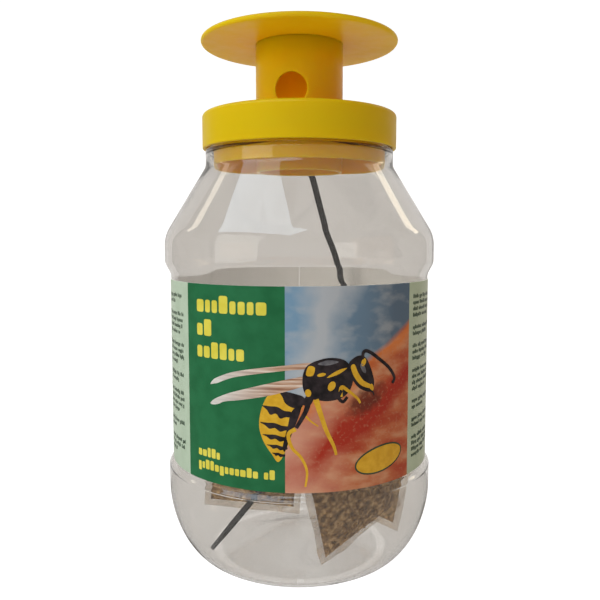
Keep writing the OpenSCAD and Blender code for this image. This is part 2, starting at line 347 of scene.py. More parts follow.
def arc(cx, cz, r, a0, a1, n):
    """A profile's arc from a0 to a1 degrees, in n steps."""
    turn = [math.radians(a0 + (a1 - a0) * i / n) for i in range(n + 1)]
    return [(cx + r * math.cos(a), cz + r * math.sin(a)) for a in turn]


def smooth_step(r0, z0, r1, z1, n):
    """A profile's soft step from one radius to another."""
    return [(r0 + (r1 - r0) * (1 - math.cos(math.pi * i / n)) / 2, z0 + (z1 - z0) * i / n)
            for i in range(n + 1)]


def round_z(r, n, z):
    """A circle of n points about the Z axis."""
    return [(r * math.cos(2 * math.pi * k / n), r * math.sin(2 * math.pi * k / n), z) for k in range(n)]


def wall_at(z):
    """The blown wall's thickness: thin, and thicker up the neck."""
    return WALL + THICK_MORE * min(1, max(0, (z - THICK_Z) / THICK_RUN))


def inset(line):
    """The inner side of the wall whose outer side is this line."""
    out = []
    for i in range(len(line)):
        d = wall_at(line[i][1])
        a, b = Vector(line[max(i - 1, 0)]), Vector(line[min(i + 1, len(line) - 1)])
        t = (b - a).normalized()
        out.append((max(0.0, line[i][0] - t.y * d), line[i][1] + t.x * d))
    return out


def revolve(profile, seg):
    """Verts and faces of a closed profile turned about Z; points on the axis become poles."""
    verts, rows = [], []
    for r, z in profile:
        if r < 1e-6:
            rows.append([len(verts)])
            verts.append((0, 0, z))
        else:
            rows.append(list(range(len(verts), len(verts) + seg)))
            verts += round_z(r, seg, z)
    faces = []
    for a, b in zip(rows, rows[1:] + rows[:1]):
        if len(a) == len(b) == 1:
            continue
        for k in range(seg):
            q = (k + 1) % seg
            if len(a) == 1:
                faces.append((a[0], b[q], b[k]))
            elif len(b) == 1:
                faces.append((a[k], a[q], b[0]))
            else:
                faces.append((a[k], a[q], b[q], b[k]))
    return verts, faces


def loft(rings):
    """Verts and faces through rings of equal length, with both ends closed."""
    n = len(rings[0])
    verts = [p for ring in rings for p in ring]
    faces = [(j * n + i, j * n + (i + 1) % n, (j + 1) * n + (i + 1) % n, (j + 1) * n + i)
             for j in range(len(rings) - 1) for i in range(n)]
    faces += [tuple(reversed(range(n))), tuple(range((len(rings) - 1) * n, len(rings) * n))]
    return verts, faces


def thread(r_root, r_crest, z0, turns, pitch=5.0):
    """A helical thread that fades out at both ends."""
    s = 1 if r_crest > r_root else -1
    steps = round(96 * turns)
    rings = []
    for i in range(steps + 1):
        f = i / steps
        a, z = 2 * math.pi * turns * f, z0 + pitch * turns * f
        fade = min(1, f * 14, (1 - f) * 14) * 0.85 + 0.15
        crest = r_root + (r_crest - r_root) * fade
        rings.append([(r * math.cos(a), r * math.sin(a), z + w) for r, w in
                      ((r_root, -0.9 * s), (crest, -0.4 * s), (crest, 0.4 * s), (r_root, 0.9 * s))])
    return loft(rings)


def merge(*parts):
    """One list of verts and faces from several."""
    verts, faces = [], []
    for v, f in parts:
        base = len(verts)
        verts += v
        faces += [tuple(i + base for i in face) for face in f]
    return verts, faces


# ---------------------------------------------------------------- jar

JAR_R, PANEL_R, BULGE_R, FOOT_R, NECK_R, MOUTH_R = 61, 58.4, 60.4, 41, 42.4, 40.6
WALL, THICK_MORE, THICK_Z, THICK_RUN = 0.8, 0.4, 172, 8
PUSH_UP, HEEL_Z, HEEL_POWER = 9, 34, 2 / 1.8
PANEL_Z0, PANEL_Z1, RING_Z0 = 46, 128.5, 136
CONE_TOP, CONE_DEG, RING_ARC, NECK_ARC = 177.4, 31.2, 15, 5
NECK_Z, RIM_Z, CHIN_Z = 184.1, 197.4, 185.4
lean, dome_r = math.radians(CONE_DEG), FOOT_R - 4
ring_z1 = CONE_TOP - (JAR_R - NECK_R) / math.tan(lean) - RING_ARC * math.tan(lean / 2)
base_line = [(dome_r * i / 24, PUSH_UP * (1 + math.cos(math.pi * i / 24)) / 2) for i in range(25)]
heel_line = []
for i in range(41):
    a = math.radians(90 * i / 40)
    heel_line.append((FOOT_R + (BULGE_R - FOOT_R) * math.sin(a) ** HEEL_POWER,
                      HEEL_Z * (1 - max(0, math.cos(a)) ** HEEL_POWER)))
body_line = (
    base_line + heel_line
    + smooth_step(BULGE_R, PANEL_Z0 - 3, PANEL_R, PANEL_Z0, 14)
    + [(PANEL_R, PANEL_Z0 + (PANEL_Z1 - PANEL_Z0) * i / 12) for i in range(1, 12)]
    + smooth_step(PANEL_R, PANEL_Z1, JAR_R, RING_Z0, 18)
    + arc(JAR_R - RING_ARC, ring_z1, RING_ARC, 0, CONE_DEG, 18)
    + [(NECK_R + (CONE_TOP - z) * math.tan(lean), z) for z in range(152, 174, 2)]
    + arc(NECK_R + NECK_ARC, CONE_TOP + NECK_ARC * math.tan(lean / 2), NECK_ARC, 180 + CONE_DEG, 180, 12)
)
inner_line = inset(body_line)
inner_line[0] = (0.0, PUSH_UP + WALL)
mouth_in = MOUTH_R - 1.4
mouth_line = [(NECK_R, NECK_Z), (NECK_R - 0.1, 184.6), (NECK_R - 0.5, 185.0), (MOUTH_R + 0.4, CHIN_Z),
              (MOUTH_R, 185.8), (MOUTH_R, 196.9), (MOUTH_R - 0.15, 197.25), (MOUTH_R - 0.5, RIM_Z)]
throat_line = [(mouth_in + 0.3, RIM_Z), (mouth_in, 197.1), (mouth_in, CHIN_Z), (mouth_in + 0.3, 184.6),
               (NECK_R - 1.3, 183.4), (NECK_R - 1.2, 182.4)]
jar_profile = body_line + mouth_line + throat_line + inner_line[::-1]
jar_mesh = merge(revolve(jar_profile, 256), thread(MOUTH_R - 0.3, MOUTH_R + 1.0, 189, 1.25))
jar = piece("jar_shell", *jar_mesh, PET, "jar_body", "clear_pet", "jar", smooth=50)
jar.visible_shadow = False  # clear: it lets the light in to what it holds

# ---------------------------------------------------------------- lid, tube and roof

LID_R, SKIRT_Z, LID_Z, LID_WALL = 43.7, 185.3, 200.8, 1.8
TUBE_R, ROOF_R, ROOF_Z, ROOF_T = 19.6, 43.9, 231.3, 2.2
HOLE_R, HOLE_Z, HOLE_DIRS = 7, 209.3, (-101, 19, 153)
BARB_DIRS = (-41, 79, 199)
skirt_in, tube_in, plate_z, collar_z = LID_R - 1.7, TUBE_R - 1.5, 197.5, 178
lid_profile = (
    [(TUBE_R + 0.1, LID_Z - LID_WALL), (skirt_in - 0.6, LID_Z - LID_WALL), (skirt_in - 0.1, LID_Z - 2.3),
     (skirt_in, SKIRT_Z + 0.3), (skirt_in + 0.3, SKIRT_Z)]
    + arc(LID_R - 0.5, SKIRT_Z + 0.5, 0.5, -90, 0, 6)
    + [(LID_R, SKIRT_Z + 2 + 11.6 * i / 4) for i in range(5)]
    + arc(LID_R - LID_WALL, LID_Z - LID_WALL, LID_WALL, 0, 90, 10)
    + [(TUBE_R + 0.4, LID_Z), (TUBE_R + 0.1, LID_Z - 0.3)]
)
lid_mesh = merge(revolve(lid_profile, 256), thread(skirt_in + 0.3, skirt_in - 0.9, 187.3, 1.0))
piece("lid_shell", *lid_mesh, YELLOW, "lid", "yellow_lid", "screw_lid", smooth=40)

spigot = tube_in - 0.05
roof_profile = (
    [(0, ROOF_Z), (spigot - 1.9, ROOF_Z), (spigot - 1.6, ROOF_Z - 0.3), (spigot - 1.6, ROOF_Z - 6),
     (spigot - 0.5, ROOF_Z - 6), (spigot, ROOF_Z - 5.5), (spigot, ROOF_Z)]
    + [(spigot + (ROOF_R - 1.1 - spigot) * i / 8, ROOF_Z) for i in range(1, 8)]
    + arc(ROOF_R - 1.1, ROOF_Z + 1.1, 1.1, -90, 90, 12)
    + [(r, ROOF_Z + ROOF_T) for r in (38, 30, 20, 10, 3.0)]
    + [(r, ROOF_Z + ROOF_T - dip) for r, dip in ((2.4, 0.25), (1.2, 0.25), (0.8, 0.05), (0, 0))]
)
piece("roof_disc", *revolve(roof_profile, 256), YELLOW, "tower", "yellow_lid", "rain_roof", smooth=40)


def bake(obj):
    """Applies all of an object's modifiers."""
    dg = bpy.context.evaluated_depsgraph_get()
    mesh = bpy.data.meshes.new_from_object(obj.evaluated_get(dg))
    old = obj.data
    obj.modifiers.clear()
    obj.data = mesh
    bpy.data.meshes.remove(old)


def boolean(obj, cutter, op="DIFFERENCE"):
    """Cuts or joins, applies it and removes the cutter."""
    mod = obj.modifiers.new("cut", "BOOLEAN")
    mod.operation, mod.object, mod.solver = op, cutter, "EXACT"
    bake(obj)
    bpy.data.objects.remove(cutter)


def loose(name, verts, faces):
    """An object from mm vertices that doesn't ride on a body yet."""
    mesh = bpy.data.meshes.new(name)
    mesh.from_pydata([Vector(v) * MM for v in verts], [], faces)
    obj = bpy.data.objects.new(name, mesh)
    scene.collection.objects.link(obj)
    return obj


# from the tube's foot up its outside, out along the flange and collar, and back down the bore
insert_profile = (
    [(tube_in, 175.8), (tube_in + 0.3, 175.5), (TUBE_R - 0.3, 175.5), (TUBE_R, 175.8),
     (TUBE_R, plate_z - 0.5), (TUBE_R + 0.5, plate_z), (36.9, plate_z), (37.4, plate_z - 0.5),
     (37.4, collar_z + 0.3), (37.7, collar_z), (38.5, collar_z), (38.8, collar_z + 0.3),
     (38.8, plate_z - 0.3), (39.0, plate_z),
     (40.9, plate_z), (41.2, plate_z + 0.3), (41.2, plate_z + 0.9), (40.9, plate_z + 1.2),
     (TUBE_R, plate_z + 1.2), (TUBE_R, 201.5), (TUBE_R, 217), (TUBE_R, ROOF_Z), (tube_in, ROOF_Z),
     (tube_in, 217), (tube_in, 201.5)]
)
barb_profile = ((TUBE_R - 0.2, 200.9), (TUBE_R + 0.7, 200.9), (TUBE_R + 0.55, 201.2), (TUBE_R - 0.2, 202.1))
tower = loose("entry_tower", *revolve(insert_profile, 192))
for hole_dir, barb_dir in zip(HOLE_DIRS, BARB_DIRS):
    turn = Matrix.Rotation(math.radians(hole_dir), 3, "Z") @ Matrix.Rotation(math.pi / 2, 3, "Y")
    ends = [[tuple(turn @ Vector(p) + Vector((0, 0, HOLE_Z))) for p in round_z(HOLE_R, 72, h)]
            for h in (8, 26)]
    boolean(tower, loose("hole", *loft(ends)))
    barb = [[(r * math.cos(a), r * math.sin(a), z) for r, z in barb_profile]
            for a in (math.radians(barb_dir - 10 + 20 * k / 8) for k in range(9))]
    boolean(tower, loose("barb", *loft(barb)), "UNION")
bevel = tower.modifiers.new("bevel", "BEVEL")
bevel.width, bevel.segments, bevel.limit_method, bevel.angle_limit = 0.00025, 2, "ANGLE", math.radians(50)
bake(tower)
finish_piece(tower, AMBER, "tower", "yellow_insert", "entry_insert", smooth=35)

# ---------------------------------------------------------------- label

LABEL_R, PRINT_R, LABEL_Z, LABEL_H, LABEL_GAP = 58.45, 58.65, 46.8, 80.9, 0.6
HALF = math.pi * PRINT_R - LABEL_GAP / 2


def wrap(s, z, r):
    """The place on the jar of a spot on the flat label: s round from the front, z up."""
    a = s / PRINT_R - math.pi / 2
    return r * math.cos(a), r * math.sin(a), z


def printed(name, outlines, mat, lift, step=2.0):
    """Flat outlines in label mm (s round the jar from the front, z up), laid on the jar at a small lift."""
    bm = bmesh.new()
    for line in outlines:
        face = bm.faces.new([bm.verts.new((s, z, 0)) for s, z in line])
        face.normal_update()
        if face.normal.z < 0:
            face.normal_flip()
    bmesh.ops.triangulate(bm, faces=bm.faces[:])
    lo, hi = min(v.co.x for v in bm.verts), max(v.co.x for v in bm.verts)
    for k in range(math.ceil(lo / step), math.floor(hi / step) + 1):
        bmesh.ops.bisect_plane(bm, geom=bm.verts[:] + bm.edges[:] + bm.faces[:],
                               plane_co=(k * step + 1e-4, 0, 0), plane_no=(1, 0, 0), dist=1e-5)
    uv = bm.loops.layers.uv.new("UVMap")
    for face in bm.faces:
        for loop in face.loops:
            loop[uv].uv = (loop.vert.co.x / 100, loop.vert.co.y / 100)
    for v in bm.verts:
        v.co = Vector(wrap(v.co.x, v.co.y, PRINT_R + lift)) * MM
    mesh = bpy.data.meshes.new(name)
    bm.to_mesh(mesh)
    bm.free()
    obj = bpy.data.objects.new(name, mesh)
    scene.collection.objects.link(obj)
    obj.visible_shadow = False
    return finish_piece(obj, mat, "jar_body", "label_paper")


def spline(a, b, c, d, t):
    """The smooth line through four points, at t of the way from b to c."""
    return 0.5 * (2 * b + (c - a) * t + (2 * a - 5 * b + 4 * c - d) * t * t
                  + (3 * b - a - 3 * c + d) * t ** 3)


def curve(points, n=6, closed=True):
    """A smooth flat line through points."""
    out, m = [], len(points)
    for i in range(m if closed else m - 1):
        near = (k % m if closed else min(max(k, 0), m - 1) for k in (i - 1, i, i + 1, i + 2))
        a, b, c, d = (Vector(points[k]) for k in near)
        out += [tuple(spline(a, b, c, d, k / n)) for k in range(n)]
    return out if closed else out + [tuple(points[-1])]


def stroke(points, w0, w1, n=6):
    """A smooth line with a width that goes from w0 to w1."""
    line = [Vector(p) for p in curve(points, n, closed=False)]
    left, right = [], []
    for i, p in enumerate(line):
        t = (line[min(i + 1, len(line) - 1)] - line[max(i - 1, 0)]).normalized()
        w = (w0 + (w1 - w0) * i / (len(line) - 1)) / 2
        left.append((p.x - t.y * w, p.y + t.x * w))
        right.append((p.x + t.y * w, p.y - t.x * w))
    return left + right[::-1]


def oval(cx, cy, rx, ry, tilt=0.0, n=40):
    """A tilted ellipse."""
    t = math.radians(tilt)
    return [(cx + rx * math.cos(a) * math.cos(t) - ry * math.sin(a) * math.sin(t),
             cy + rx * math.cos(a) * math.sin(t) + ry * math.sin(a) * math.cos(t))
            for a in (2 * math.pi * k / n for k in range(n))]


def slab(x0, y0, x1, y1, r):
    """A rectangle with rounded corners."""
    r = min(r, (x1 - x0) / 2.01, (y1 - y0) / 2.01)
    corners = ((x1 - r, y1 - r, 0), (x0 + r, y1 - r, 90), (x0 + r, y0 + r, 180), (x1 - r, y0 + r, 270))
    return [p for cx, cy, a in corners for p in arc(cx, cy, r, a, a + 90, 2)]


def words(rng, x0, x1, y, size, widths, gap=0.28):
    """Blank letter blocks in word groups, standing in for a line of print."""
    out, x = [], x0
    while x < x1:
        for _ in range(rng.randint(*widths)):
            w = size * rng.uniform(0.38, 0.62)
            if x + w > x1:
                return out
            tall = rng.random()
            out.append(slab(x, y - (size * 0.28 if tall > 0.86 else 0), x + w,
                            y + size * (1.0 if tall < 0.3 else 0.72), size * 0.12))
            x += w + size * gap * 0.55
        x += size * 0.5
    return out


# the sheet itself, closed, with its open ends at the back
TOP, LOW = LABEL_Z + LABEL_H, LABEL_Z
cols = 240
sheet_rings = []
for k in range(cols + 1):
    s = -HALF + 2 * HALF * k / cols
    curl = 0.12 * max(0, 1 - (HALF - abs(s)) / 3) ** 2
    sheet_rings.append([wrap(s, z, r + curl)
                        for r, z in ((LABEL_R, LOW), (LABEL_R, TOP), (PRINT_R, TOP), (PRINT_R, LOW))])
sheet = piece("label_sheet", *loft(sheet_rings), PALE_GREEN, "jar_body", "label_paper", "label", smooth=30)
sheet.data.materials.append(PAPER)
for p in sheet.data.polygons:
    p.material_index = int(math.hypot(p.center.x, p.center.y) < (PRINT_R - 0.05) * MM)
sheet.visible_shadow = False
printed("label_green_panel", [[(-52.6, LOW), (-5.5, LOW), (-5.5, TOP), (-52.6, TOP)]], GREEN, 0.03)
printed("label_picture_panel", [[(-5.5, LOW), (51.6, LOW), (51.6, TOP), (-5.5, TOP)]], SKY_FRUIT, 0.03)

rng = random.Random(7)
heading = []
for y, x1, size in ((116.4, -8.4, 7.0), (106.9, -37.5, 6.7), (98.0, -19.0, 6.6)):
    heading += words(rng, -46, x1, y, size, (9, 9), 0.24)
for y, x1 in ((57.0, -31.5), (51.8, -8.5)):
    heading += words(rng, -46, x1, y, 3.9, (12, 12), 0.24)
printed("label_heading_bars", heading, GOLD, 0.06)
small = []
PRINT_SIZE, LINE_STEP = 1.7, 2.6
for x0, x1 in ((-76, -56), (-104, -80), (-134, -108), (55, 79), (84, 110), (114, 142)):
    y = 121.0
    while y > 54:
        block = rng.randint(2, 4)
        for k in range(block):
            short = rng.uniform(4, 12) if k == block - 1 else rng.uniform(0, 1.5)
            small += words(rng, x0, x1 - short, y, PRINT_SIZE, (3, 8))
            y -= LINE_STEP
        y -= LINE_STEP
printed("label_small_print_bars", small, DARK, 0.06, step=4.0)

# the wasp in simple flat outline: its points were picked on the insect in the photo
printed("wasp_wings", [
    curve([(5, 98.4), (-6, 97.2), (-17.7, 95.6), (-27, 93.6), (-33, 91.4), (-36.6, 89.6), (-38.2, 87.6),
           (-36.2, 88.0), (-34, 88.6), (-30.8, 90), (-26.2, 91.6), (-17.7, 93.4), (-6, 95.2),
           (4.5, 96.3)], 5),
    curve([(9, 94), (-2.2, 92.4), (-13.7, 89.6), (-25.3, 86.2), (-30.9, 84.2), (-36, 81.8), (-38.4, 79.8),
           (-36.6, 79.4), (-33.6, 80.2), (-30.9, 81.4), (-21.9, 83.1), (-9.8, 85.8), (1.5, 89.2),
           (8, 91.8)], 5),
], WING, 0.14)
printed("wasp_abdomen", [
    curve([(1.5, 84.1), (-0.4, 77.5), (-2.6, 71), (-5, 64.4), (-8, 59.2), (-10.7, 62.1), (-14.2, 67.4),
           (-15.8, 73.5), (-14.6, 80.6), (-11.4, 86.2), (-6.8, 87.2)], 6),
], AMBER_INK, 0.08)
bands = [
    curve([(-7.4, 87.2), (-2, 86.4), (2, 84.6), (0.6, 80.6), (-3, 81), (-5.4, 82.6), (-6.4, 84.8)], 5),
    curve([(1, 83), (0.2, 78.4), (-1.6, 73.6), (-3.8, 68), (-5.6, 63.4), (-6.4, 65.2), (-5.4, 69.6),
           (-4.2, 74.6), (-3, 79.2)], 5),
]
BAND = ((-1, 0.1), (-0.62, -0.2), (-0.3, -0.62), (0.05, -0.3), (0.4, -0.7), (0.75, -0.35), (1.05, -0.2),
        (1.0, 0.4), (0.5, 0.32), (0, 0.5), (-0.5, 0.3))
for cx, cy, half, tilt, w in ((-9.0, 79.4, 5.8, -16, 3.4), (-9.6, 73.4, 6.0, -10, 2.4),
                              (-9.4, 69.0, 5.2, -8, 2.0), (-8.8, 65.2, 4.0, -8, 1.6),
                              (-8.2, 62.2, 2.6, -10, 1.3)):
    t = math.radians(tilt)
    d, q = Vector((math.cos(t), math.sin(t))), Vector((-math.sin(t), math.cos(t)))
    c = Vector((cx, cy))
    bands.append(curve([tuple(c + d * half * u + q * w * v) for u, v in BAND], 4))
printed("wasp_bands", bands, BLACK, 0.12)
printed("wasp_body", [
    curve([(1.5, 94.1), (3.8, 97.8), (10.6, 100), (16.9, 99.3), (20.2, 96.4), (21.5, 91.7), (20.2, 87.2),
           (17, 84.3), (12.2, 83.2), (7.6, 83.6), (3.4, 85), (1.4, 88.7)], 6),
    curve([(19.8, 98), (23.5, 100.3), (27, 99.2), (29.6, 94.4), (31, 88.8), (29.4, 85.6), (24.5, 87.2),
           (21, 91.2), (19.6, 94.9)], 6),
    curve([(3.8, 87), (5.8, 85.4), (4.2, 81.8), (1.2, 82.4)], 4),
], BLACK, 0.15)
printed("wasp_shine", [
    curve([(7, 97.8), (11, 99.2), (15.4, 98.4), (11, 97.2)], 5),
    oval(25.8, 95.2, 0.9, 2.2, 28),
], GREY_INK, 0.18)
printed("wasp_marks", [
    curve([(2.6, 93.6), (3.6, 97), (6, 96.4), (5.2, 93.4)], 5),
    oval(12.6, 89.0, 1.4, 2.0, -30),
    curve([(10.6, 92.4), (14.8, 95), (18.8, 95.8), (15, 93.4)], 5),
    oval(3.4, 86.6, 1.2, 1.5, 10),
    oval(8.6, 93.6, 1.7, 0.7, 10),
    curve([(20.4, 96.2), (21.8, 92.2), (24.8, 88.6), (29, 87), (29.2, 88.4), (26, 90.4), (23.6, 93.6),
           (22, 97)], 5),
    oval(26.0, 97.6, 1.0, 1.6, -20),
    oval(29.8, 87.2, 0.9, 1.5, 12),
], AMBER_INK, 0.18)
printed("wasp_legs", [
    stroke([(16.2, 84.6), (16.6, 88.4), (19.6, 86.6), (23.4, 83.4), (24.6, 81.4)], 1.7, 0.8),
    stroke([(6.4, 84), (8.2, 78.4), (10.6, 71.4), (13.4, 65.6), (14.6, 61.6)], 2.3, 1.0),
    stroke([(-1.4, 72.4), (-4.2, 70.2), (-2.8, 65), (0.8, 61), (3.0, 55.6), (2.4, 49.4)], 1.7, 0.8),
    stroke([(2.5, 77.5), (4.6, 75.4), (7.4, 73.4)], 0.8, 0.5),
], AMBER_INK, 0.17)
printed("wasp_dark_legs", [
    stroke([(3.6, 84), (2.6, 79.6), (-1.2, 72.8)], 2.4, 1.4),
    stroke([(16.6, 87.2), (15.4, 84.4), (17.2, 82.6), (19.0, 84.4)], 1.4, 1.2),
    stroke([(25.3, 98.8), (26.1, 101.8), (28.8, 101.4), (33.7, 98), (38.8, 94), (41.8, 89.8), (40.6, 87.6)],
           1.4, 1.4),
    stroke([(28.6, 86.4), (30.4, 85.2), (31.0, 83.8)], 0.9, 0.4),
], BLACK, 0.2)
printed("label_badge_rim", [oval(34.7, 57.5, 12.4, 5.6, 9)], DARK, 0.08)
printed("label_badge", [oval(34.7, 57.5, 11.7, 4.9, 9)], AMBER_INK, 0.12)

# ---------------------------------------------------------------- sachets

SEAL, W, L, T = 3.0, 48.0, 54.0, 15.0  # the seal's width, and the sachet's width, length and thickness
CLOTH_FRAMES, RIM_RINGS, MOST_GRANULES = 21, 5, 760


def unit(v):
    return Vector(v).normalized()


def across(a, b):
    """b with its part along a taken out, as a unit vector."""
    return (b - a * a.dot(b)).normalized()


left_x = unit((1, -0.05, -0.08))
left = (Vector((-21.5, 16.2, 38)), left_x, across(left_x, Vector((0, 0.17, 0.985))))
front_y = unit((-0.155, -0.457, 0.875))
front_x = across(front_y, Vector((0.789, 0.477, 0.389)))
front = (Vector((9.3, -31.2, 3.2)) + front_x * W / 2 + front_y * L / 2, front_x, front_y)
right_y = unit((0.175, 0, 0.985))
right_x = across(right_y, Vector((-0.75, 0.65, 0.12)))
right = (Vector((47, -2.5, 5.8)) + right_x * W / 2 + right_y * L / 2, right_x, right_y)


def pocket(seed, fill):
    """The filled part of a sachet, in local mm: two sheets joined round the edge and blown up as cloth."""
    nx, ny = 32, 38
    w, l = W - 2 * SEAL, L - 2 * SEAL
    bm = bmesh.new()
    grids = []
    for side in (1, -1):
        rows = []
        for j in range(ny + 1):
            row = []
            for i in range(nx + 1):
                u, v = 2 * i / nx - 1, 2 * j / ny - 1
                rim = max(abs(u), abs(v)) > 0.999
                if side == -1 and rim:
                    row.append(grids[0][j][i])
                    continue
                h = side * 0.5 * (1 - u ** 4) * (1 - v ** 4) * T * 0.42
                h += 0.5 * noise.noise(Vector((u * 3, v * 3, seed + side * 5))) * (0 if rim else 1)
                row.append(bm.verts.new((u * w / 2 * MM, v * l / 2 * MM, h * MM)))
            rows.append(row)
        grids.append(rows)
        for j in range(ny):
            for i in range(nx):
                f = (rows[j][i], rows[j][i + 1], rows[j + 1][i + 1], rows[j + 1][i])
                bm.faces.new(f if side == 1 else f[::-1])
    bm.verts.index_update()
    rim_loop = ([grids[0][0][i] for i in range(nx)] + [grids[0][j][nx] for j in range(ny)]
                + [grids[0][ny][i] for i in range(nx, 0, -1)] + [grids[0][j][0] for j in range(ny, 0, -1)])
    rim_ids = [v.index for v in rim_loop]
    mesh = bpy.data.meshes.new("pocket")
    bm.to_mesh(mesh)
    bm.free()
    obj = bpy.data.objects.new("pocket", mesh)
    scene.collection.objects.link(obj)
    cloth = obj.modifiers.new("cloth", "CLOTH")
    s = cloth.settings
    s.quality, s.mass, s.time_scale = 6, 0.02, 0.5
    s.tension_stiffness = s.compression_stiffness = 20
    s.shear_stiffness, s.bending_stiffness = 8, 0.03
    s.use_pressure, s.uniform_pressure_force = True, fill
    s.effector_weights.gravity = 0
    cloth.collision_settings.use_collision = False
    for f in range(1, CLOTH_FRAMES + 1):
        scene.frame_set(f)
    bake(obj)
    scene.frame_set(1)
    co = [v.co / MM for v in obj.data.vertices]
    tall = max(abs(c.z) for c in co)
    flat = min(1.0, (T / 2 - 0.5) / tall)
    co = [Vector((c.x, c.y, c.z * flat)) for c in co]
    faces = [tuple(p.vertices) for p in obj.data.polygons]
    bpy.data.objects.remove(obj)
    return co, faces, rim_ids


def sealed_edge(co, rim, seed):
    """Verts and faces of the flat crimped seal that runs out from the pocket's rim."""
    verts, faces, last = [], [], rim
    for k in range(1, RIM_RINGS + 1):
        out = k / RIM_RINGS
        ring = []
        for i, r in enumerate(rim):
            p = co[r]
            q = Vector((p.x / (W / 2 - SEAL), p.y / (L / 2 - SEAL)))
            m = max(abs(q.x), abs(q.y))
            edge = [max(-1, min(1, c / m * 1.02)) for c in q]
            grow = Vector((edge[0] * W / 2 - p.x, edge[1] * L / 2 - p.y, 0))
            wave = 0.55 * math.sin(i * 0.33 + seed) + 0.5 * noise.noise(Vector((i * 0.25, k, seed)))
            crimp = 0.16 * (k % 2)
            ring.append(len(co) + len(verts))
            verts.append(p + grow * (out * 0.98) + Vector((0, 0, wave * out ** 1.5 * 1.1 + crimp)))
        for i in range(len(rim)):
            j = (i + 1) % len(rim)
            faces.append((last[i], last[j], ring[j], ring[i]))
        last = ring
    return verts, faces


def core(co, seed, to_jar):
    """A lumpy core of dust and broken bits, a little inside the film."""
    mid = sum(co, Vector()) / len(co)
    out = []
    for c in co:
        dent = 0.04 * noise.noise(c * 0.5 + Vector((seed, 0, 0)))
        d = c - mid
        out.append(to_jar(mid + Vector((d.x * 0.99, d.y * 0.99, d.z * (0.84 + dent)))))
    return out


def small_ball():
    """The coarse ball that each granule is made from."""
    base = bmesh.new()
    bmesh.ops.create_icosphere(base, subdivisions=1, radius=1)
    verts = [v.co.copy() for v in base.verts]
    faces = [tuple(v.index for v in f.verts) for f in base.faces]
    base.free()
    return verts, faces


def granules(co, faces, seed, level, to_jar):
    """Verts and faces of the core and of whole granules packed against the film."""
    rng = random.Random(seed)
    ball, ball_faces = small_ball()
    heights = [to_jar(c).z for c in co]
    low, high = min(heights), max(heights)
    tree = BVHTree.FromPolygons([tuple(c) for c in co], faces)
    gv, gf, spots = core(co, seed, to_jar), list(faces), []
    for _ in range(16000):
        if len(spots) >= MOST_GRANULES:
            break
        p = Vector((rng.uniform(-1, 1) * (W / 2 - SEAL), rng.uniform(-1, 1) * (L / 2 - SEAL),
                    rng.uniform(-1, 1) * T / 2))
        at = to_jar(p)
        if (at.z - low) / (high - low) > level + 0.06 * rng.uniform(-1, 1):
            continue
        near, normal, _index, dist = tree.find_nearest(p)
        if (p - near).dot(normal) > 0 or not 0.35 < dist < 2.2:
            continue
        size = min(dist + 0.4, rng.uniform(0.9, 2.0))
        if any((at - q).length < (size + r) * 0.62 for q, r in spots):
            continue
        turn = rng.uniform(0, 6.28)
        axis = unit((rng.uniform(-1, 1), rng.uniform(-1, 1), rng.uniform(-1, 1)))
        spin = Matrix.Rotation(turn, 3, axis)
        scale = Matrix.Diagonal((size * 1.15, size * rng.uniform(0.6, 0.95), size * rng.uniform(0.5, 0.85)))
        start = len(gv)
        for v in ball:
            bumpy = 1 + 0.28 * noise.noise(v * 1.7 + Vector((len(spots), seed, 0)))
            gv.append(at + spin @ (scale @ (v * bumpy)))
        gf += [tuple(i + start for i in c) for c in ball_faces]
        spots.append((at, size))
    return gv, gf


def sachet(name, place, seed, fill, level):
    """A sachet's film with its sealed edge, and the granules in it, up to a share of its height."""
    o, x, y = place
    n = x.cross(y)

    def to_jar(p):
        return o + x * p.x + y * p.y + n * p.z

    co, faces, rim = pocket(seed, fill)
    edge_verts, edge_faces = sealed_edge(co, rim, seed)
    obj = loose(name + "_skin", [to_jar(v) for v in co + edge_verts], faces + edge_faces)
    sub = obj.modifiers.new("sub", "SUBSURF")
    sub.levels = 1
    bake(obj)
    edge_from = 4 * len(faces)
    finish_piece(obj, FILM, "jar_body", "clear_film", name + "_film", smooth=0)
    obj.data.materials.append(SEAL_FILM)
    for i, p in enumerate(obj.data.polygons):
        p.material_index = int(i >= edge_from)
    obj.data.shade_smooth()
    bits = granules(co, faces, seed, level, to_jar)
    piece(name + "_granules", *bits, BAIT, "jar_body", "bait", name + "_bait", smooth=0)


sachet("sachet_left", left, 3, 5.0, 0.95)
sachet("sachet_front", front, 5, 6.0, 0.97)
sachet("sachet_right", right, 8, 4.0, 0.8)

# ---------------------------------------------------------------- hanging tie

ROUTE = [(1.5, 26, 186), (3.8, 27.4, 181), (6.6, 29.6, 175), (10, 33.4, 163), (14, 38, 149),
         (18.5, 41.5, 137), (22, 44, 125), (26, 45, 113), (27.5, 43, 101), (26, 37, 89), (20.5, 26, 76),
         (11.5, 12, 63), (0.5, -2.5, 51.5), (-11, -14.5, 40.5), (-21, -23.5, 30), (-30, -29.3, 20.5),
         (-37.6, -33.6, 12.5)]
STRAP_HALF, STRAP_UP, STEP = 1.78, 0.44, 0.55
TAPER, TAIL = 26, 24  # how many steps from the tip the strap narrows, and how many have coarse ridges


